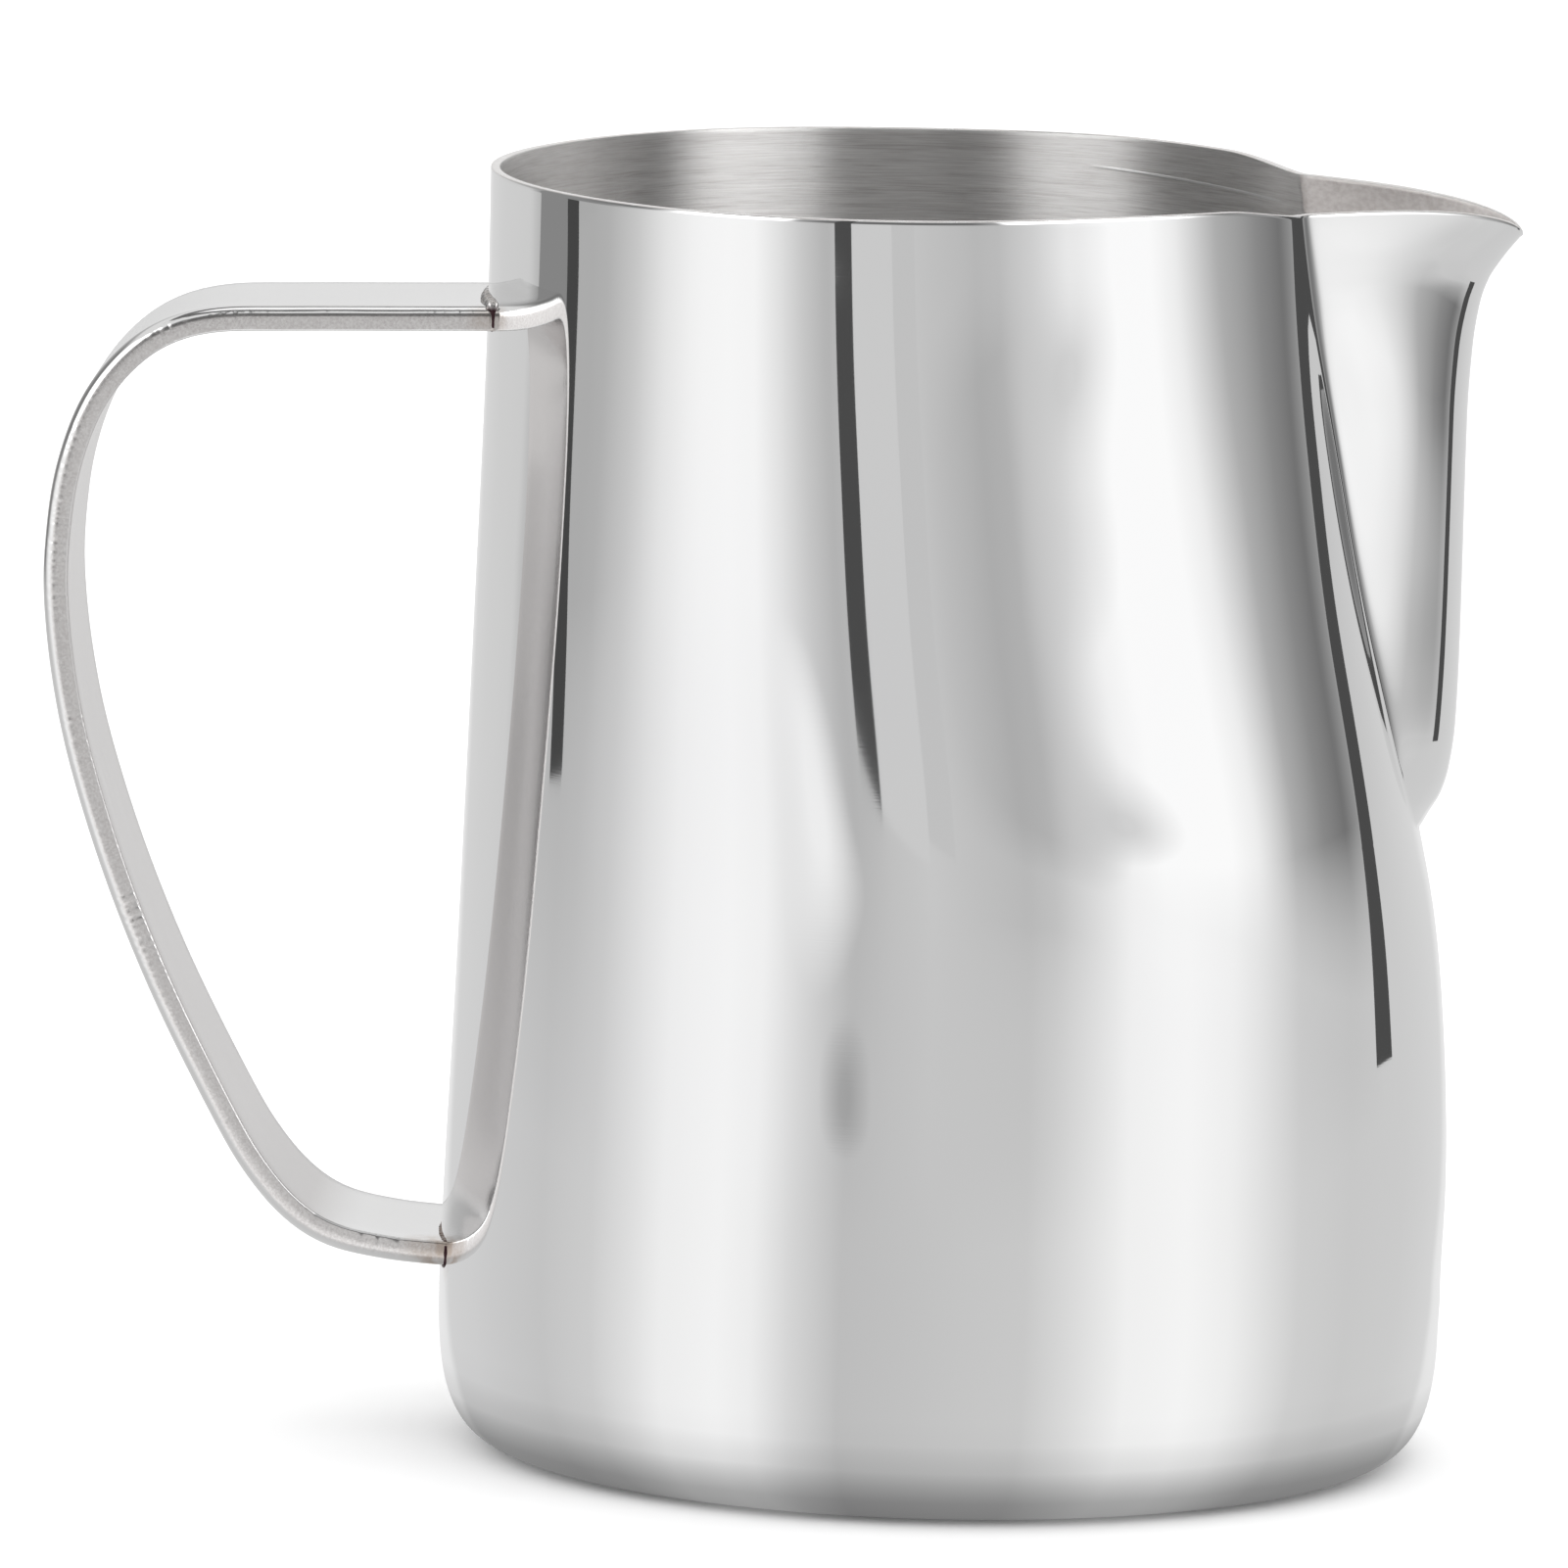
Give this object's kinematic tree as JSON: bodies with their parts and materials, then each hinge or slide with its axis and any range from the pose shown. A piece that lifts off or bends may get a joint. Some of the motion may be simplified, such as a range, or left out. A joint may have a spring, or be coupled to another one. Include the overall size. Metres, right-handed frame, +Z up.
{
  "type": "milk frothing pitcher",
  "caption": "Open steel milk frothing pitcher with a slightly tapered round body, a creased pouring spout and a flat strap handle welded on opposite it.",
  "frame": {"origin": "centre of the flat underside, on the axis of the round body", "axes": "+Z up through the mouth, +X towards the spout, -X towards the handle, +Y across the strap"},
  "size_m": [0.128, 0.0878, 0.1122],
  "materials": {
    "polished_steel": "stainless steel sheet, mirror polished outside, fine circumferential brush lines inside",
    "strap_steel": "stainless steel strap, polished faces with buffed edges",
    "weld_metal": "rippled bare weld bead",
    "tinted_weld": "rippled weld bead with brown heat tint"
  },
  "bodies": {
    "root": {"pitcher_body": "polished_steel", "handle_strap": "strap_steel", "upper_weld": "weld_metal", "lower_weld": "tinted_weld"}
  },
  "joints": []
}
